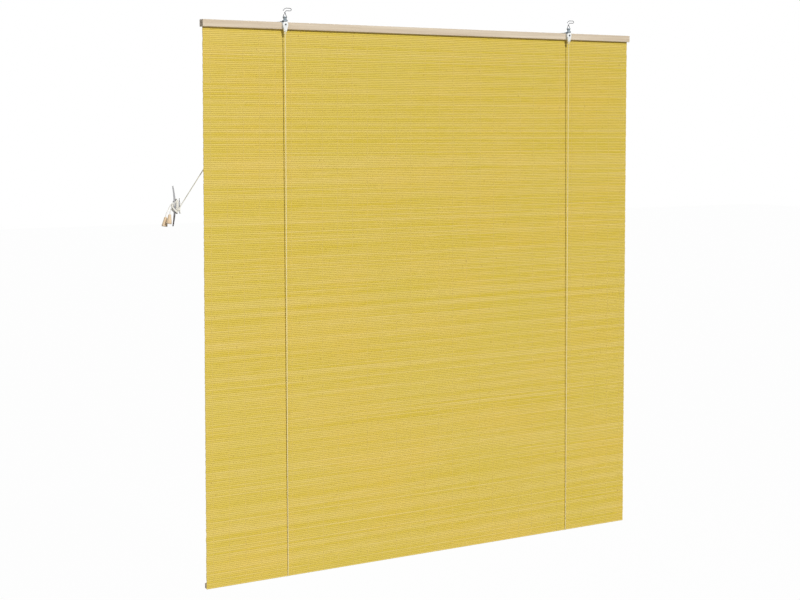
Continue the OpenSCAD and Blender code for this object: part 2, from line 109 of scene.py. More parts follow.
def tubeArrays(path, radius, ref, sides):
    # circle of the given radius carried along the path; ref is a direction that the path never follows
    t = unitRows(np.gradient(path, axis=0))
    u = unitRows(np.cross(np.asarray(ref, float), t))
    v = np.cross(t, u)
    a = np.linspace(0, 2 * np.pi, sides, endpoint=False)
    r = np.broadcast_to(np.asarray(radius, float), (len(path),))[:, None, None]
    circle = np.cos(a)[None, :, None] * u[:, None] + np.sin(a)[None, :, None] * v[:, None]
    rings = path[:, None] + r * circle
    quads, spots = gridQuads(len(path), sides, wrapCols=True)
    s = np.concatenate([[0], np.cumsum(np.linalg.norm(np.diff(path, axis=0), axis=1))])
    uv = np.stack([spots[..., 1] / sides, s[spots[..., 0]] / (2 * np.pi * np.max(r))], axis=-1)
    ends = np.stack([np.arange(sides)[::-1], np.arange(sides) + (len(path) - 1) * sides])
    uv = np.concatenate([uv.reshape(-1, 2), np.zeros((2 * sides, 2))])
    return rings.reshape(-1, 3), quads, ends, uv


def tubePiece(name, paths, radius, ref, sides, body, material):
    # one or more tubes in one piece, with one ref for all or a list of refs
    paths = paths if isinstance(paths, list) else [paths]
    refs = ref if isinstance(ref, list) else [ref] * len(paths)
    points, faces, uv = [], [], []
    start = 0
    for path, ref in zip(paths, refs):
        p, quads, ends, w = tubeArrays(path, radius, ref, sides)
        points.append(p)
        faces += (quads + start).tolist() + (ends + start).tolist()
        uv.append(w)
        start += len(p)
    return addPiece(name, np.concatenate(points), faces, body, material, np.concatenate(uv), 50)


# shader helpers

def newMaterial(name):
    mat = bpy.data.materials.new(name)
    mat.use_nodes = True
    tree = mat.node_tree
    tree.nodes.clear()
    out = tree.nodes.new("ShaderNodeOutputMaterial")
    bsdf = tree.nodes.new("ShaderNodeBsdfPrincipled")
    tree.links.new(bsdf.outputs[0], out.inputs[0])
    return mat, tree, bsdf


def plug(tree, value, socket):
    if isinstance(value, bpy.types.NodeSocket):
        tree.links.new(value, socket)
    elif value is not None:
        socket.default_value = value


def mathNode(tree, op, a, b=None):
    node = tree.nodes.new("ShaderNodeMath")
    node.operation = op
    plug(tree, a, node.inputs[0])
    plug(tree, b, node.inputs[1])
    return node.outputs[0]


def mixColor(tree, factor, a, b, blend="MIX"):
    node = tree.nodes.new("ShaderNodeMix")
    node.data_type = "RGBA"
    node.blend_type = blend
    plug(tree, factor, node.inputs[0])
    plug(tree, a, node.inputs[6])
    plug(tree, b, node.inputs[7])
    return node.outputs[2]


def mapRange(tree, value, low, high, toLow=0.0, toHigh=1.0):
    node = tree.nodes.new("ShaderNodeMapRange")
    plug(tree, value, node.inputs[0])
    for i, number in enumerate((low, high, toLow, toHigh)):
        node.inputs[i + 1].default_value = number
    return node.outputs[0]


def scaledVector(tree, vector, scale):
    node = tree.nodes.new("ShaderNodeVectorMath")
    node.operation = "MULTIPLY"
    tree.links.new(vector, node.inputs[0])
    node.inputs[1].default_value = scale
    return node.outputs[0]


def noise(tree, vector, scale, detail=2.0, rough=0.5):
    node = tree.nodes.new("ShaderNodeTexNoise")
    plug(tree, vector, node.inputs["Vector"])
    node.inputs["Scale"].default_value = scale
    node.inputs["Detail"].default_value = detail
    node.inputs["Roughness"].default_value = rough
    return node.outputs["Fac"]


def bump(tree, height, strength, distance):
    node = tree.nodes.new("ShaderNodeBump")
    node.inputs["Strength"].default_value = strength
    node.inputs["Distance"].default_value = distance
    tree.links.new(height, node.inputs["Height"])
    return node.outputs["Normal"]


def objectCoords(tree):
    return tree.nodes.new("ShaderNodeTexCoord").outputs["Object"]


def uvCoords(tree):
    node = tree.nodes.new("ShaderNodeUVMap")
    node.uv_map = "pieceUv"
    return node.outputs[0]


def linear(r, g, b):
    # display colour, 0 to 255, as the linear values that a shader takes
    c = np.array([r, g, b], float) / 255
    c = np.where(c <= 0.04045, c / 12.92, ((c + 0.055) / 1.055) ** 2.4)
    return (*c.tolist(), 1.0)


def newGroup(name, inputs, outputs):
    group = bpy.data.node_groups.new(name, "ShaderNodeTree")
    for label, kind, value in inputs:
        sock = group.interface.new_socket(label, in_out="INPUT", socket_type=kind)
        if value is not None:
            sock.default_value = value
    for label, kind in outputs:
        group.interface.new_socket(label, in_out="OUTPUT", socket_type=kind)
    return group, group.nodes.new("NodeGroupInput"), group.nodes.new("NodeGroupOutput")


def useGroup(tree, group, **values):
    node = tree.nodes.new("ShaderNodeGroup")
    node.node_tree = group
    for label, value in values.items():
        plug(tree, value, node.inputs[label])
    return node


# grain along X for sawn wood: a mask of long fibres and a height for the bump

def makeGrainGroup():
    group, gin, gout = newGroup(
        "woodGrain",
        [("Vector", "NodeSocketVector", None), ("Stretch", "NodeSocketVector", (6.0, 160.0, 160.0))],
        [("Fibre", "NodeSocketFloat"), ("Cloud", "NodeSocketFloat"), ("Pore", "NodeSocketFloat")])
    pulled = group.nodes.new("ShaderNodeVectorMath")
    pulled.operation = "MULTIPLY"
    group.links.new(gin.outputs["Vector"], pulled.inputs[0])
    group.links.new(gin.outputs["Stretch"], pulled.inputs[1])
    fibre = noise(group, pulled.outputs[0], 1.0, 4.0, 0.6)
    cloud = noise(group, pulled.outputs[0], 0.22, 2.0, 0.5)
    pore = mapRange(group, noise(group, pulled.outputs[0], 3.4, 2.0, 0.5), 0.62, 0.75)
    group.links.new(fibre, gout.inputs["Fibre"])
    group.links.new(cloud, gout.inputs["Cloud"])
    group.links.new(pore, gout.inputs["Pore"])
    return group


grainGroup = makeGrainGroup()


# fine scratches and blotches on metal and moulded pieces

def makeWearGroup():
    group, gin, gout = newGroup(
        "surfaceWear",
        [("Vector", "NodeSocketVector", None), ("Scale", "NodeSocketFloat", 200.0)],
        [("Blotch", "NodeSocketFloat"), ("Speck", "NodeSocketFloat")])
    blotch = group.nodes.new("ShaderNodeTexNoise")
    blotch.inputs["Detail"].default_value = 3.0
    group.links.new(gin.outputs["Vector"], blotch.inputs["Vector"])
    group.links.new(gin.outputs["Scale"], blotch.inputs["Scale"])
    fine = mathNode(group, "MULTIPLY", gin.outputs["Scale"], 6.0)
    speck = group.nodes.new("ShaderNodeTexNoise")
    speck.inputs["Detail"].default_value = 2.0
    group.links.new(gin.outputs["Vector"], speck.inputs["Vector"])
    group.links.new(fine, speck.inputs["Scale"])
    group.links.new(blotch.outputs["Fac"], gout.inputs["Blotch"])
    group.links.new(speck.outputs["Fac"], gout.inputs["Speck"])
    return group


wearGroup = makeWearGroup()


# camera, tilted a little down, with the rest of the framing from the vertical shift
cameraSpec = {"place": (-2.417, -3.8821, -0.3409), "yawDeg": 30.6054, "pitchDeg": -3.2949,
              "focalPx": 1513.8, "axisRow": 216.0, "frameW": 800, "frameH": 600, "sensor": 36.0}


def makeCamera(spec):
    data = bpy.data.cameras.new("roomCamera")
    data.sensor_width = spec["sensor"]
    data.lens = spec["sensor"] * spec["focalPx"] / spec["frameW"]
    data.shift_y = (spec["axisRow"] - spec["frameH"] / 2) / spec["frameW"]
    data.clip_end = 100
    cam = bpy.data.objects.new("roomCamera", data)
    cam.location = spec["place"]
    cam.rotation_euler = (math.pi / 2 + math.radians(spec["pitchDeg"]), 0, -math.radians(spec["yawDeg"]))
    bpy.context.scene.collection.objects.link(cam)
    bpy.context.scene.camera = cam


makeCamera(cameraSpec)
print("camera placed")


# cord: plaited cotton, two strands crossing on its own uv map
cordSpec = {"radius": 0.0012, "sides": 10, "step": 0.0016,
            "light": linear(248, 236, 184), "dark": linear(222, 204, 140),
            "pullLight": linear(252, 250, 243), "pullDark": linear(222, 217, 204),
            # the knot's tones are the lift cord's painted lighter, as light on the knot
            "paintedLitKnotLight": linear(254, 246, 210), "paintedLitKnotDark": linear(240, 226, 172),
            # the pull cord's run is painted greyer, as shade
            "runShade": {"x": (-0.806, -0.79), "color": linear(206, 205, 192)}}


def makeCordMaterial(name, light, dark, runShade=None):
    mat, tree, bsdf = newMaterial(name)
    uv = uvCoords(tree)
    split = tree.nodes.new("ShaderNodeSeparateXYZ")
    tree.links.new(uv, split.inputs[0])
    turns = mathNode(tree, "MULTIPLY", split.outputs[0], 4.0)
    along = mathNode(tree, "MULTIPLY", split.outputs[1], 1.6)

    def strand(op):
        turn = mathNode(tree, "MULTIPLY", mathNode(tree, op, turns, along), 2 * math.pi)
        return mathNode(tree, "SINE", turn)

    plait = mathNode(tree, "MULTIPLY", strand("ADD"), strand("SUBTRACT"))
    height = mapRange(tree, plait, -1.0, 1.0)
    fuzz = noise(tree, objectCoords(tree), 900.0, 3.0)
    tone = mathNode(tree, "ADD", mathNode(tree, "MULTIPLY", height, 0.7),
                    mathNode(tree, "MULTIPLY", fuzz, 0.3))
    # painted shade: the plait's low places between the strands take the darker tone
    color = mixColor(tree, tone, dark, light)
    if runShade:
        # painted shade: the run down from the sheave is greyer than the cord wound on the cleat and its
        # tails; x is where it changes
        place = tree.nodes.new("ShaderNodeSeparateXYZ")
        tree.links.new(objectCoords(tree), place.inputs[0])
        share = mapRange(tree, place.outputs[0], *runShade["x"])
        color = mixColor(tree, share, color, runShade["color"], "MULTIPLY")
    tree.links.new(color, bsdf.inputs["Base Color"])
    bsdf.inputs["Roughness"].default_value = 0.85
    bsdf.inputs["Sheen Weight"].default_value = 0.25
    tree.links.new(bump(tree, height, 0.7, 0.0004), bsdf.inputs["Normal"])
    return mat


cordMaterial = makeCordMaterial("plaitedCord", cordSpec["light"], cordSpec["dark"])
pullCordMaterial = makeCordMaterial("plaitedPullCord", cordSpec["pullLight"], cordSpec["pullDark"],
                                    cordSpec["runShade"])
# the knot is the lift cord's material painted lighter, as light on it
paintedLitKnotMaterial = makeCordMaterial("plaitedKnotPaintedLit", cordSpec["paintedLitKnotLight"], cordSpec["paintedLitKnotDark"])

# the pull cords: off the left sheave, round the cleat in figures of eight, and down to the tassels
pullSpec = {
    "windR": 0.0074, "leaveDeg": 152, "cleat": (-317, 38, -507),
    "nearY": 17, "nearStartDeg": 0,
    "nearRun": [(-80, 19.5, -141), (-156, 22, -276), (-230.5, 25, -399), (-303, 28.6, -506)],
    "nearTail": [(-327.5, 31.5, -499), (-331, 27.5, -500.5), (-337, 23.5, -507), (-345, 19, -518),
                 (-352, 16, -529), (-355, 16, -550)],
    "farY": 21, "farStartDeg": 151,
    "farRun": [(-78.5, 23.3, -141), (-154.6, 25.5, -276), (-229.4, 28, -399), (-302, 31.3, -506)],
    "farTail": [(-327.5, 31, -503.5), (-330, 25, -504.5), (-335, 16, -508), (-341, 6, -513),
                (-346, 0, -521), (-349, 0, -542)],
}
sheaveMid = np.mean(np.array(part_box("left_sheave")), axis=0)
railY = float(np.mean(np.array(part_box("bamboo_mat")), axis=0)[1])     # the rail's middle plane


def fromSheave(points):
    # millimetres from the left sheave's middle (x, z) and the rail's middle plane (y), to metres
    zero = np.array([sheaveMid[0], railY, sheaveMid[2]])
    return np.atleast_2d(np.asarray(points, float)) / 1000 + zero


def sheaveArc(startDeg, endDeg, y):
    # the stretch in the sheave's groove: an arc of the winding radius from one angle to the other
    a = np.radians(np.linspace(startDeg, endDeg, 24))
    r = pullSpec["windR"] * 1000
    return fromSheave(np.stack([r * np.cos(a), np.full_like(a, y), r * np.sin(a)], axis=1))


def neckTurns(layer):
    # one turn of the near cord and two of the far one round the cleat's neck: a flat oval in (y, z)
    # that closes on the horns
    a = np.radians(np.linspace(-100, -470 - 360 * layer, 120 + 120 * layer))
    x = 10.3 + 2.4 * layer + 4.8 * (a - a[0]) / (2 * np.pi)
    z = 5.55 * np.cos(a) + 9.5 * np.tanh(4 * np.cos(a))
    return fromSheave(np.stack([x, 5.55 * np.sin(a), z], axis=1) + np.array(pullSpec["cleat"]))


def cleatTurns(layer):
    # figure of eight: z swings once a turn and y twice; outside the cleat at each crossing,
    # behind a horn at each end
    deg = np.linspace(75, 545, 190)
    a = np.radians(deg)
    turn = (deg - 90) / 360
    reach = 14.4 + 4.8 * turn + 2.4 * layer
    side = 5.9 + 2.2 * np.maximum(turn, 0) + 1.1 * layer
    swing = np.cos(2 * a)
    x = -swing * np.where(swing > 0, 4.9 + 4.6 * np.maximum(turn - 0.25, 0), 4.9 + 2.4 * turn)
    z = -reach * np.sin(a) + 1.5 * (1 - 2 * layer) * np.cos(a) ** 2
    return fromSheave(np.stack([x, -side * np.sin(2 * a), z], axis=1) + np.array(pullSpec["cleat"]))


def makePullCord(name, which, layer, node):
    # a round tube along sheave, run, neck, figure of eight and tail, joined into one smooth route
    y = pullSpec[which + "Y"]
    route = np.concatenate([sheaveArc(pullSpec[which + "StartDeg"], pullSpec["leaveDeg"], y),
                            fromSheave(pullSpec[which + "Run"]), neckTurns(layer), cleatTurns(layer),
                            fromSheave(pullSpec[which + "Tail"])])
    path = evenPath(route, cordSpec["step"], 0.006)
    obj = tubePiece(name, path, cordSpec["radius"], (0, 1, 0), cordSpec["sides"], "frame",
                    pullCordMaterial)
    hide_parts(node)
    return obj, path


nearCord, nearPath = makePullCord("nearPullCord", "near", 0, "left_pull_cord")
farCord, farPath = makePullCord("farPullCord", "far", 1, "right_pull_cord")
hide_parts("cord_wrap")
print("pull cords", round(pathLength(nearPath), 3), round(pathLength(farPath), 3))

# the lift cords: knot, face of the mat, bottom edge, back, sheave
liftSpec = {"knot": (-0.0157, -0.0702), "front": -0.0029, "low": -1.6402, "turn": 0.004, "edge": -1.6387,
            "stray": 0.008, "back": 0.0112, "groove": 0.017, "farGroove": 0.021, "windR": 0.0074,
            "hangerX": 0.5, "lift": 1.48}


def makeLiftCord(name, side, node):
    # points as (x from the hanger, y from the rail's middle plane, z)
    s = liftSpec
    top = sheaveMid[2]
    face = [(0, *s["knot"]), (0, s["knot"][0], s["knot"][1] - 0.008)]
    turn = [(s["front"] - 0.0012, s["edge"] + 0.03), (s["front"], s["edge"] + s["turn"]),
            (s["front"] + s["turn"], s["low"]), (s["back"] - s["turn"], s["low"]),
            (s["back"], s["edge"] + s["turn"]), (s["back"], s["edge"] + 0.032)]
    rise = [(s["windR"], s["groove"], top - 0.03), (s["windR"], s["groove"], top)]
    route = np.array(face + [(s["stray"], y, z) for y, z in turn] + rise)
    path = evenPath(route + np.array([side * s["hangerX"], railY, 0]), 0.004, 0.008)
    obj = tubePiece(name, path, cordSpec["radius"], (1, 0, 0), cordSpec["sides"], "frame",
                    cordMaterial)
    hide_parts(node)
    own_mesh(obj)


for side, end in ((-1, "left"), (1, "right")):
    makeLiftCord(end + "LiftCord", side, end + "_lift_cord")


# the cross cord: over the right sheave, along the back of the rail and over the left one
def makeCrossCord():
    s = liftSpec
    a = np.radians(np.linspace(0, 90, 16))
    y, farY = railY + s["groove"], railY + s["farGroove"]
    right = np.stack([s["hangerX"] + s["windR"] * np.cos(a), np.full_like(a, y),
                      sheaveMid[2] + s["windR"] * np.sin(a)], axis=1)
    topZ = sheaveMid[2] + s["windR"]
    run = [(s["hangerX"] - 0.06, farY, topZ), (0, farY, topZ - 0.002), (-s["hangerX"] + 0.03, farY, topZ)]
    left = sheaveArc(90, pullSpec["leaveDeg"], pullSpec["farY"])
    path = evenPath(np.concatenate([right, run, left]), 0.003, 0.004)
    obj = tubePiece("crossCord", path, cordSpec["radius"], (0, 1, 0), cordSpec["sides"], "frame",
                    cordMaterial)
    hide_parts("cross_cord")


makeCrossCord()
print("lift and cross cords laid")


# bamboo mat: each slat a soft-edged flat, front and back, all in one wall; its uv is (x in metres, slat)
matSpec = {"slats": 304, "columns": 15, "groove": 0.0006, "endUneven": 0.0012, "bow": 0.00012,
           "pale": linear(222, 197, 110), "deep": linear(207, 181, 48), "olive": linear(210, 190, 80),
           "orange": linear(226, 190, 88), "joint": linear(164, 130, 50), "grooveShade": linear(112, 84, 24)}


def makeBambooMaterial(spec):
    mat, tree, bsdf = newMaterial("yellowBamboo")
    split = tree.nodes.new("ShaderNodeSeparateXYZ")
    tree.links.new(uvCoords(tree), split.inputs[0])
    x, v = split.outputs[0], split.outputs[1]
    slat = mathNode(tree, "FLOOR", v)
    across = mathNode(tree, "FRACT", v)

    def stretched(scaleX, row, scaleRow, detail):
        vec = tree.nodes.new("ShaderNodeCombineXYZ")
        tree.links.new(mathNode(tree, "MULTIPLY", x, scaleX), vec.inputs[0])
        tree.links.new(mathNode(tree, "MULTIPLY", row, scaleRow), vec.inputs[1])
        return noise(tree, vec.outputs[0], 1.0, detail, 0.55)

    def swing(value, weight):
        return mathNode(tree, "MULTIPLY", mathNode(tree, "SUBTRACT", value, 0.5), weight)

    pick = tree.nodes.new("ShaderNodeTexWhiteNoise")
    pick.noise_dimensions = "1D"
    tree.links.new(slat, pick.inputs["W"])
    fibre = stretched(22.0, v, 9.0, 3.0)
    # tone of the slat: its own lightness, a slow drift along it, short dashes and fine fibres
    level = mathNode(tree, "ADD", swing(pick.outputs["Value"], 0.45), 0.5)
    drift, dashes = stretched(2.2, slat, 17.3, 2.0), stretched(18.0, slat, 5.7, 2.0)
    for value, weight in ((drift, 0.8), (dashes, 0.6), (fibre, 1.0)):
        level = mathNode(tree, "ADD", level, swing(value, weight))
    color = mixColor(tree, mapRange(tree, level, 0.0, 1.0), spec["deep"], spec["pale"])
    # patches that lean to olive or to orange, wider than they are tall
    patch = noise(tree, scaledVector(tree, objectCoords(tree), (2.2, 1.0, 5.0)), 1.0, 3.0, 0.6)
    color = mixColor(tree, mapRange(tree, patch, 0.5, 0.68, 0.0, 0.3), color, spec["olive"])
    color = mixColor(tree, mapRange(tree, patch, 0.5, 0.32, 0.0, 0.3), color, spec["orange"])
    # faint joints in the cane, and painted shade that darkens the gap between two slats
    joint = mapRange(tree, stretched(150.0, slat, 9.1, 1.0), 0.73, 0.79, 0.0, 0.5)
    color = mixColor(tree, joint, color, spec["joint"])
    edge = mathNode(tree, "MINIMUM", across, mathNode(tree, "SUBTRACT", 1.0, across))
    color = mixColor(tree, mapRange(tree, edge, 0.02, 0.12, 0.6, 0.0), color, spec["grooveShade"])
    tree.links.new(color, bsdf.inputs["Base Color"])
    tree.links.new(mapRange(tree, fibre, 0.3, 0.7, 0.42, 0.6), bsdf.inputs["Roughness"])
    bsdf.inputs["Specular IOR Level"].default_value = 0.35
    tree.links.new(bump(tree, mathNode(tree, "ADD", fibre, joint), 0.35, 0.0003), bsdf.inputs["Normal"])
    return mat


bambooMaterial = makeBambooMaterial(matSpec)


def makeMat(spec):
    # rows run down the mat and columns across it; half the thickness is the groove's depth short of the
    # crest in a gap and full on the slat's flat, and the end of each slat is its own reach
    low, high = (np.array(c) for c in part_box("bamboo_mat"))
    slats, columns = spec["slats"], spec["columns"]
    pitch = (high[2] - low[2]) / slats
    # one slat's section: distance down from its top edge, and share of the groove that is filled
    down = np.array([0.0, 0.08, 0.22, 0.78, 0.92])
    fill = np.array([0.0, 0.72, 1.0, 1.0, 0.72])
    step = (np.arange(slats)[:, None] + down[None]).ravel()
    step = np.append(step, slats)
    rise = np.append(np.tile(fill, slats), 0.0)
    owner = np.minimum(step.astype(int), slats - 1)
    x = np.linspace(-1, 1, columns)
    half = (high[0] - low[0]) / 2
    crest = (high[1] - low[1]) / 2
    thick = crest * (1 - 0.10 * rng.random(slats))[owner]
    face = (crest - spec["groove"]) + (thick - crest + spec["groove"]) * rise
    lean = spec["bow"] * np.sin(rng.random(slats) * 6.28)[owner]
    reach = half - spec["endUneven"] * rng.random(slats)[owner]
    reach = np.where(rise == 0, np.minimum(reach, np.roll(reach, 1)), reach)
    z = high[2] - pitch * step

    def side(sign):
        wave = lean[:, None] * np.cos(x * 4.0 + owner[:, None])
        return np.stack([reach[:, None] * x[None] + 0 * z[:, None],
                         railY + sign * np.minimum(face[:, None] + wave * rise[:, None], crest),
                         np.broadcast_to(z[:, None], (len(z), columns))], axis=-1)

    ring = np.concatenate([side(-1), side(1)[::-1]])       # down the front, up the back
    number = np.concatenate([step, step[::-1]])
    rows = len(ring)
    quads, spots = gridQuads(rows, columns, wrapRows=True)
    numberNext = np.append(number, number[0])
    uv = np.stack([x[spots[..., 1]] * half, numberNext[spots[..., 0]]], axis=-1).reshape(-1, 2)
    # the two ends: strips that join the front row to the back row at the same height
    n = len(step)
    i = np.arange(n - 1)
    first, last = i * columns, i * columns + columns - 1
    backRow = (rows - 1 - i) * columns
    leftEnd = np.stack([first, first + columns, backRow - columns, backRow], axis=1)
    rightEnd = np.stack([last, backRow + columns - 1, backRow - 1, last + columns], axis=1)
    endSlat = np.stack([step[:-1], step[1:], step[1:], step[:-1]], axis=1)
    endUv = np.stack([np.full((n - 1, 4), half), endSlat], axis=-1)
    faces = np.concatenate([quads[:, ::-1], leftEnd[:, ::-1], rightEnd[:, ::-1]])
    uvAll = np.concatenate([uv.reshape(-1, 4, 2)[:, ::-1], endUv, endUv]).reshape(-1, 2)
    obj = addPiece("bambooMat", ring, faces.tolist(), "frame", bambooMaterial, uvAll, 35)
    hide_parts("bamboo_mat")
    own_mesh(obj)


makeMat(matSpec)
print("mat woven")


# warp threads: a flat strip down each face that rides over every slat and dips into every groove
threadSpec = {"count": 30, "spacing": 0.05, "width": 0.0012, "thick": 0.0004, "firstSlat": 3.5,
              "dip": 0.00042, "light": linear(222, 198, 106), "dark": linear(206, 180, 88)}


def makeThreadMaterial(spec):
    mat, tree, bsdf = newMaterial("cottonThread")
    split = tree.nodes.new("ShaderNodeSeparateXYZ")
    tree.links.new(uvCoords(tree), split.inputs[0])
    turn = mathNode(tree, "ADD", mathNode(tree, "MULTIPLY", split.outputs[0], 6.0),
                    mathNode(tree, "MULTIPLY", split.outputs[1], 4.0))
    wave = mathNode(tree, "SINE", mathNode(tree, "MULTIPLY", turn, 2 * math.pi))
    twist = mapRange(tree, wave, -1.0, 1.0)
    # painted shade: the twist's grooves take the darker tone
    tree.links.new(mixColor(tree, twist, spec["dark"], spec["light"]), bsdf.inputs["Base Color"])
    bsdf.inputs["Roughness"].default_value = 0.8
    tree.links.new(bump(tree, twist, 0.5, 0.0002), bsdf.inputs["Normal"])
    return mat


threadMaterial = makeThreadMaterial(threadSpec)


def makeThreads(name, sign, spec):
    # a four-cornered section carried down the face, with a row on each crown and in each groove
    low, high = (np.array(c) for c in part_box("bamboo_mat"))
    slats = matSpec["slats"]
    pitch = (high[2] - low[2]) / slats
    step = np.arange(spec["firstSlat"], slats + 0.01, 0.5)
    z = high[2] - pitch * step
    # whole numbers are grooves, halves are the crowns of the slats
    inGroove = np.isclose(step % 1, 0)
    y = railY + sign * ((high[1] - low[1] + spec["thick"]) / 2 - np.where(inGroove, spec["dip"], 0))
    halfW, halfT = spec["width"] / 2, spec["thick"] / 2
    corner = np.array([(-halfW, -halfT), (halfW, -halfT), (halfW, halfT), (-halfW, halfT)])
    rows = len(z)
    one = np.stack([np.broadcast_to(corner[:, 0], (rows, 4)), y[:, None] + corner[None, :, 1],
                    np.broadcast_to(z[:, None], (rows, 4))], axis=-1)
    at = (np.arange(spec["count"]) - (spec["count"] - 1) / 2) * spec["spacing"]
    points = one[None] + np.stack([at, 0 * at, 0 * at], axis=1)[:, None, None]
    quads, spots = gridQuads(rows, 4, wrapCols=True)
    caps = np.array([[3, 2, 1, 0], [rows * 4 - 4, rows * 4 - 3, rows * 4 - 2, rows * 4 - 1]])
    oneFaces = np.concatenate([quads[:, ::-1], caps[:, ::-1]])
    oneUv = np.stack([spots[..., 1] / 4, step[spots[..., 0]]], axis=-1)[:, ::-1]
    oneUv = np.concatenate([oneUv, np.zeros((2, 4, 2))])
    faces = (oneFaces[None] + (np.arange(spec["count"]) * rows * 4)[:, None, None]).reshape(-1, 4)
    uv = np.tile(oneUv.reshape(-1, 2), (spec["count"], 1))
    obj = addPiece(name, points, faces.tolist(), "frame", threadMaterial, uv, 60)
    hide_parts("warp_threads")
    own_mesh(obj)


makeThreads("warpThreadsFront", -1, threadSpec)
makeThreads("warpThreadsBack", 1, threadSpec)
print("warp threads laid")


# planed softwood for the laths and the bar
railSpec = {"tone": linear(204, 188, 164), "pale": linear(222, 208, 186), "deep": linear(176, 152, 122),
            "stretch": (5.0, 260.0, 260.0)}


def makeWoodMaterial(name, spec):
    mat, tree, bsdf = newMaterial(name)
    grain = useGroup(tree, grainGroup, Vector=objectCoords(tree), Stretch=spec["stretch"])
    color = mixColor(tree, mapRange(tree, grain.outputs["Fibre"], 0.3, 0.7), spec["tone"], spec["pale"])
    cloud = mapRange(tree, grain.outputs["Cloud"], 0.35, 0.7, 0.0, 0.55)
    color = mixColor(tree, cloud, color, spec["deep"])
    color = mixColor(tree, mathNode(tree, "MULTIPLY", grain.outputs["Pore"], 0.4), color, spec["deep"])
    if "rim" in spec:
        # painted shade on the rim and in the hollow, by the share of the turned profile that lies behind
        share = tree.nodes.new("ShaderNodeSeparateXYZ")
        tree.links.new(uvCoords(tree), share.inputs[0])
        hollowShadeShare = mapRange(tree, share.outputs[1], *spec["rimFrom"], 0.0, 0.85)
        color = mixColor(tree, hollowShadeShare, color, spec["rim"])
    tree.links.new(color, bsdf.inputs["Base Color"])
    tree.links.new(mapRange(tree, grain.outputs["Fibre"], 0.3, 0.7, 0.55, 0.72), bsdf.inputs["Roughness"])
    tree.links.new(bump(tree, grain.outputs["Fibre"], 0.25, 0.0003), bsdf.inputs["Normal"])
    return mat


railMaterial = makeWoodMaterial("planedSoftwood", railSpec)
# the dark tone for the rim and the hollow is painted shade
tasselSpec = {"tone": linear(222, 197, 160), "pale": linear(236, 215, 184), "deep": linear(186, 150, 110),
              "stretch": (420.0, 420.0, 60.0), "rim": linear(62, 46, 30), "rimFrom": (0.62, 0.67)}
tasselMaterial = makeWoodMaterial("turnedBeech", tasselSpec)


# metals and moulded pieces: one tone with blotches and fine specks in its gloss
hardSpec = {
    "galvanisedZinc": {"tone": linear(146, 156, 162), "worn": linear(116, 124, 130), "metallic": 0.7,
                       "rough": (0.32, 0.5), "scale": 260.0, "dent": 0.0001},
    "darkHookWire": {"tone": linear(74, 76, 80), "worn": linear(54, 56, 60), "metallic": 0.7,
                     "rough": (0.34, 0.5), "scale": 420.0, "dent": 0.0001},
    "dullScrewSteel": {"tone": linear(104, 106, 110), "worn": linear(76, 78, 82), "metallic": 0.8,
                       "rough": (0.35, 0.55), "scale": 500.0, "dent": 0.0001},
    "whiteMoulding": {"tone": linear(240, 242, 241), "worn": linear(230, 232, 230), "metallic": 0.0,
                      "rough": (0.28, 0.4), "scale": 180.0, "dent": 0.00005},
    "platedCleat": {"tone": linear(172, 172, 174), "worn": linear(146, 146, 148), "metallic": 0.5,
                    "rough": (0.3, 0.46), "scale": 220.0, "dent": 0.0001},
}


def makeHardMaterial(name, tint=None):
    spec = hardSpec[name]
    mat, tree, bsdf = newMaterial(name)
    wear = useGroup(tree, wearGroup, Vector=objectCoords(tree), Scale=spec["scale"])
    color = mixColor(tree, mapRange(tree, wear.outputs["Blotch"], 0.35, 0.7), spec["tone"], spec["worn"])
    color = tint(tree, color) if tint else color
    tree.links.new(color, bsdf.inputs["Base Color"])
    bsdf.inputs["Metallic"].default_value = spec["metallic"]
    rough = mapRange(tree, wear.outputs["Speck"], 0.3, 0.7, *spec["rough"])
    tree.links.new(rough, bsdf.inputs["Roughness"])
    tree.links.new(bump(tree, wear.outputs["Speck"], 0.2, spec["dent"]), bsdf.inputs["Normal"])
    return mat


zincMaterial = makeHardMaterial("galvanisedZinc")
wireMaterial = makeHardMaterial("darkHookWire")
screwMaterial = makeHardMaterial("dullScrewSteel")
plasticMaterial = makeHardMaterial("whiteMoulding")

# the cleat: its lower horn is painted darker towards its tip, as shade, and its foot painted over with the
# casing
cleatSpec = {"lowerHornShade": linear(60, 54, 52), "lowerHornShadeZ": (-0.566, -0.584),
             "paint": linear(240, 240, 238), "paintX": (-0.8034, -0.8028)}


def cleatTint(tree, color):
    place = tree.nodes.new("ShaderNodeSeparateXYZ")
    tree.links.new(objectCoords(tree), place.inputs[0])
    # painted shade: darker down the lower horn towards its tip
    lowerHornShadeShare = mapRange(tree, place.outputs[2], *cleatSpec["lowerHornShadeZ"], 0.0, 0.95)
    color = mixColor(tree, lowerHornShadeShare, color, cleatSpec["lowerHornShade"])
    painted = mapRange(tree, place.outputs[0], *cleatSpec["paintX"])
    return mixColor(tree, painted, color, cleatSpec["paint"])


cleatMaterial = makeHardMaterial("platedCleat", cleatTint)


def dressNodes(material, names):
    for name in names:
        mesh = nodes[name].data
        mesh.materials.clear()
        mesh.materials.append(material)


def bothEnds(*names):
    return [end + "_" + name for name in names for end in ("left", "right")]


dressNodes(railMaterial, ["front_lath", "back_lath", "bottom_bar"])
dressNodes(screwMaterial, ["lath_nails", "anchor_screws", "axle_screws"])
dressNodes(cleatMaterial, ["cleat"])
print("carried-over pieces dressed")

# moulded and pressed pieces with softened edges: kind of piece, width of the bevel, slot and material
softSpec = {"anchor": (0.0006, "white_plastic", plasticMaterial),
            "pulley_frame": (0.0003, "white_plastic", plasticMaterial),
            "sheave": (0.00025, "white_plastic", plasticMaterial),
            "saddle": (0.0002, "zinc", zincMaterial), "stud": (0.0004, "zinc", zincMaterial)}


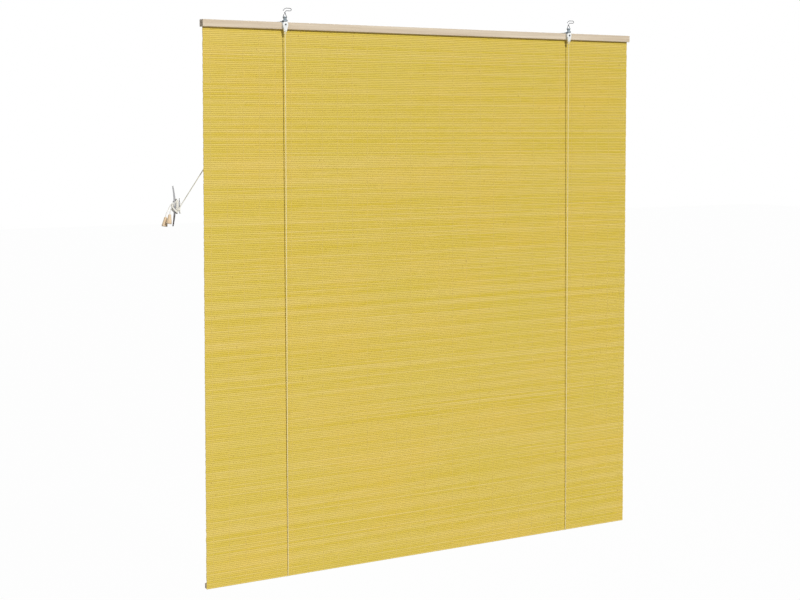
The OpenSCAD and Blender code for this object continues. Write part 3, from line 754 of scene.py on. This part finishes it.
def softPiece(node, body, width, material):
    # the node's triangles merged and its flat faces rejoined, then a narrow bevel on every sharp edge
    bm = bmesh.new()
    bm.from_mesh(nodes[node].data)
    bmesh.ops.remove_doubles(bm, verts=bm.verts, dist=1e-6)
    bmesh.ops.dissolve_limit(bm, angle_limit=math.radians(0.3), verts=bm.verts, edges=bm.edges)
    mesh = bpy.data.meshes.new(node + "Soft")
    bm.to_mesh(mesh)
    bm.free()
    mesh.polygons.foreach_set("use_smooth", np.ones(len(mesh.polygons), bool))
    mesh.materials.append(material)
    obj = bpy.data.objects.new(node + "Soft", mesh)
    bpy.context.scene.collection.objects.link(obj)
    bevel = obj.modifiers.new("softEdge", "BEVEL")
    bevel.width = width
    bevel.segments = 2
    bevel.limit_method = "ANGLE"
    bevel.angle_limit = math.radians(35)
    bevel.harden_normals = True
    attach(obj, body)
    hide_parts(node)


for kind, (width, slot, material) in softSpec.items():
    for node in bothEnds(kind):
        softPiece(node, node if kind == "sheave" else "frame", width, material)
print("edges softened")


# wire hooks: round wire bent from the stud to the open eye
hookSpec = {"wireR": 0.0009, "x": 0.5, "base": -0.023,
            "eye": [(-4.8, -0.8), (-4.8, 0.6), (-0.6, 11), (0.6, 12.6), (3.4, 15.8), (5.4, 16.6), (17, 16.6),
                    (19.6, 17.9), (20.6, 20.25), (19.6, 22.6), (17, 23.9), (4, 23.9), (0.8, 23),
                    (-1.8, 20.7), (-5.4, 16.5)],
            "leg": [(4.8, -0.8), (4.8, 0.6), (0.6, 11), (0, 12)]}


def makeHook(name, side, node, spec):
    # two round tubes along the bends of the wire, given in millimetres from its foot
    def bent(points):
        p = np.array(points) / 1000
        route = np.stack([p[:, 0] + side * spec["x"], 0 * p[:, 0], p[:, 1] + spec["base"]], axis=1)
        return evenPath(route, 0.0006, 0.002)

    obj = tubePiece(name, [bent(spec["eye"]), bent(spec["leg"])], spec["wireR"], (0, 1, 0), 12, "frame",
                    wireMaterial)
    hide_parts(node)


makeHook("leftHookWire", -1, "left_hook", hookSpec)
makeHook("rightHookWire", 1, "right_hook", hookSpec)


# knots: a trefoil of cord, and for the anchors a loop through the eyelet
knotSpec = {"cordR": 0.0012, "anchor": (-0.0157, -0.0702), "swell": 0.00105, "tall": 0.0011,
            "loopFront": -0.0207, "loopBack": -0.0107, "nose": -0.063}


def trefoil(center, swell, tall, lean=0.0):
    # the plain overhand knot: two turns round while it rises and falls three times
    a = np.linspace(0, 2 * np.pi, 97)
    p = np.stack([swell * (np.sin(a) + 2 * np.sin(2 * a)), swell * 0.8 * (np.cos(a) - 2 * np.cos(2 * a)),
                  tall * 1.4 * -np.sin(3 * a)], axis=1)
    x = p[:, 0] * math.cos(lean) + p[:, 2] * math.sin(lean)
    z = p[:, 2] * math.cos(lean) - p[:, 0] * math.sin(lean)
    return np.stack([x, p[:, 1], z], axis=1) + np.array(center)


def makeAnchorKnots(spec):
    # on each side a trefoil, and a loop that goes from it round the anchor's nose and back
    y, z = spec["anchor"][0] + railY, spec["anchor"][1]
    front, back, nose = spec["loopFront"] + railY, spec["loopBack"] + railY, spec["nose"]
    paths, refs = [], []
    for side in (-1, 1):
        x = side * liftSpec["hangerX"]
        loop = [(x, y, z), (x, front, z + 0.002), (x, front, nose - 0.001), (x, front + 0.001, nose),
                (x, back - 0.001, nose), (x, back, nose - 0.001), (x, back, z + 0.002), (x, y, z)]
        knot = trefoil((x, y, z), spec["swell"], spec["tall"])
        paths += [evenPath(loop, 0.0008, 0.002), knot]
        refs += [(1, 0, 0), knot - np.array((x, y, z))]
    obj = tubePiece("anchorKnots", paths, spec["cordR"], refs, 10, "frame", paintedLitKnotMaterial)
    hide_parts("cord_knots")


makeAnchorKnots(knotSpec)
print("hooks and knots bent")


# tassels: a turned bell with a drilled hole and a hollow below, leaning away from the blind
tasselShape = {"lean": 8.0, "tall": 0.026, "topR": 0.004, "rimR": 0.008, "holeR": 0.0015, "hollowR": 0.006,
               "hollowTall": 0.013, "roof": 0.003, "round": 0.0007, "turns": 40,
               "near": (-353, 16, -536), "far": (-347, 0, -528),
               "knotR": 0.0011, "knotSwell": 0.00055, "knotTall": 0.0008, "knotDrop": 0.0026}


def tasselProfile(s):
    # from the hole's top over the bell to the rim, then up the hollow and back through the hole
    t = np.linspace(0, 1, 14)
    flare = s["topR"] + (s["rimR"] - s["topR"]) * (1 - np.cos(np.pi * t)) / 2
    bell = np.stack([flare, -s["tall"] * t], axis=1)
    bell[0] = (s["topR"] - s["round"], 0)
    bell = np.insert(bell, 1, (s["topR"], -s["round"]), axis=0)
    bell[-1] = (s["rimR"], -s["tall"] + s["round"])
    roofZ = -s["tall"] + s["hollowTall"]
    inside = [(s["rimR"] - s["round"], -s["tall"]), (s["hollowR"] + s["round"], -s["tall"]),
              (s["hollowR"], -s["tall"] + s["round"]), (s["hollowR"], roofZ - s["roof"]),
              (s["holeR"], roofZ), (s["holeR"], 0)]
    return np.concatenate([bell, np.array(inside)])


def makeTassel(name, place, node, spec):
    # the profile turned once round its axis, then leaned in the plane of x and z
    prof = tasselProfile(spec)
    a = np.linspace(0, 2 * np.pi, spec["turns"], endpoint=False)
    x = prof[:, :1] * np.cos(a)
    y = prof[:, :1] * np.sin(a)
    z = np.broadcast_to(prof[:, 1:], x.shape)
    lean = math.radians(spec["lean"])
    points = np.stack([x * math.cos(lean) + z * math.sin(lean), y,
                       z * math.cos(lean) - x * math.sin(lean)], axis=-1)
    quads, spots = gridQuads(len(prof), spec["turns"], wrapRows=True, wrapCols=True)
    uv = np.stack([spots[..., 1] / spec["turns"], spots[..., 0] / len(prof)], axis=-1)[:, ::-1]
    obj = addPiece(name, points + fromSheave(place)[0], quads[:, ::-1].tolist(), "frame",
                   tasselMaterial, uv.reshape(-1, 2), 40)
    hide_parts(node)
    return obj


nearTassel = makeTassel("nearTassel", tasselShape["near"], "left_tassel", tasselShape)
farTassel = makeTassel("farTassel", tasselShape["far"], "right_tassel", tasselShape)


def makeTasselKnots(spec):
    # a small trefoil under the roof of each hollow, down the leaning axis
    lean = math.radians(spec["lean"])
    drop = (spec["tall"] - spec["hollowTall"] + spec["knotDrop"]) * 1000
    down = np.array([-drop * math.sin(lean), 0, -drop * math.cos(lean)])
    centers = [fromSheave(np.array(spec[which]) + down)[0] for which in ("near", "far")]
    paths = [trefoil(c, spec["knotSwell"], spec["knotTall"], lean) for c in centers]
    refs = [p - c for p, c in zip(paths, centers)]
    obj = tubePiece("tasselKnots", paths, spec["knotR"], refs, 10, "frame", pullCordMaterial)
    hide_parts("tassel_knots")
    return obj


tasselKnots = makeTasselKnots(tasselShape)
print("tassels turned")


# floor, world and lamps
studioSpec = {"floorZ": -2.6, "floorSize": 60.0, "floor": linear(180, 180, 180),
              "floorSpeck": linear(174, 174, 174), "fill": 0.08, "floorGlow": 0.98,
              "sun": {"from": (0.0, -1.0, 0.5), "angleDeg": 3.0, "power": 2.79},
              "lamps": [("sideLamp", (-3.6, -2.6, 0.4), (0.0, 0.0, -0.9), 2.0, 26.0),
                        ("backLamp", (0.6, 3.6, 1.6), (0.0, 0.0, -0.8), 2.6, 150.0)]}


def seenDirectly(tree):
    # 1 for rays from the camera, or by way of metal and glass
    path = tree.nodes.new("ShaderNodeLightPath")
    bent = mathNode(tree, "MAXIMUM", path.outputs["Is Glossy Ray"], path.outputs["Is Transmission Ray"])
    return mathNode(tree, "MAXIMUM", path.outputs["Is Camera Ray"], bent)


def makeFloor(spec):
    half = spec["floorSize"] / 2
    t = np.linspace(-half, half, 9)
    x, y = np.meshgrid(t, t, indexing="ij")
    points = np.stack([x, y, np.full_like(x, spec["floorZ"])], axis=-1).reshape(-1, 3)
    mesh = bpy.data.meshes.new("studioFloor")
    mesh.from_pydata(points.tolist(), [], gridQuads(9, 9)[0][:, ::-1].tolist())
    mesh.update()
    obj = bpy.data.objects.new("studioFloor", mesh)
    bpy.context.scene.collection.objects.link(obj)
    mat, tree, bsdf = newMaterial("paleFloor")
    out = [n for n in tree.nodes if n.type == "OUTPUT_MATERIAL"][0]
    speck = noise(tree, objectCoords(tree), 40.0, 2.0)
    tree.links.new(mixColor(tree, speck, spec["floor"], spec["floorSpeck"]), bsdf.inputs["Base Color"])
    bsdf.inputs["Roughness"].default_value = 0.9
    glow = tree.nodes.new("ShaderNodeEmission")
    mix = tree.nodes.new("ShaderNodeMixShader")
    tree.links.new(mathNode(tree, "MULTIPLY", seenDirectly(tree), spec["floorGlow"]), mix.inputs[0])
    tree.links.new(bsdf.outputs[0], mix.inputs[1])
    tree.links.new(glow.outputs[0], mix.inputs[2])
    tree.links.new(mix.outputs[0], out.inputs[0])
    mesh.materials.append(mat)


def makeWorld(spec):
    world = bpy.data.worlds.new("studioWorld")
    bpy.context.scene.world = world
    world.use_nodes = True
    tree = world.node_tree
    tree.nodes.clear()
    out = tree.nodes.new("ShaderNodeOutputWorld")
    back = tree.nodes.new("ShaderNodeBackground")
    level = mapRange(tree, seenDirectly(tree), 0.0, 1.0, spec["fill"], 1.0)
    tree.links.new(level, back.inputs["Strength"])
    back.inputs["Color"].default_value = (1, 1, 1, 1)
    tree.links.new(back.outputs[0], out.inputs[0])


def makeLamps(spec):
    for name, place, aim, size, power in spec["lamps"]:
        data = bpy.data.lights.new(name, "AREA")
        data.shape = "DISK"
        data.size = size
        data.energy = power
        lamp = bpy.data.objects.new(name, data)
        lamp.location = place
        lamp.rotation_euler = (Vector(aim) - Vector(place)).to_track_quat("-Z", "Y").to_euler()
        bpy.context.scene.collection.objects.link(lamp)
    sun = bpy.data.lights.new("keySun", "SUN")
    sun.energy = spec["sun"]["power"]
    sun.angle = math.radians(spec["sun"]["angleDeg"])
    lamp = bpy.data.objects.new("keySun", sun)
    lamp.rotation_euler = (-Vector(spec["sun"]["from"])).to_track_quat("-Z", "Y").to_euler()
    bpy.context.scene.collection.objects.link(lamp)


makeFloor(studioSpec)
makeWorld(studioSpec)
makeLamps(studioSpec)
bpy.context.scene.view_settings.view_transform = "Standard"
print("studio lit")
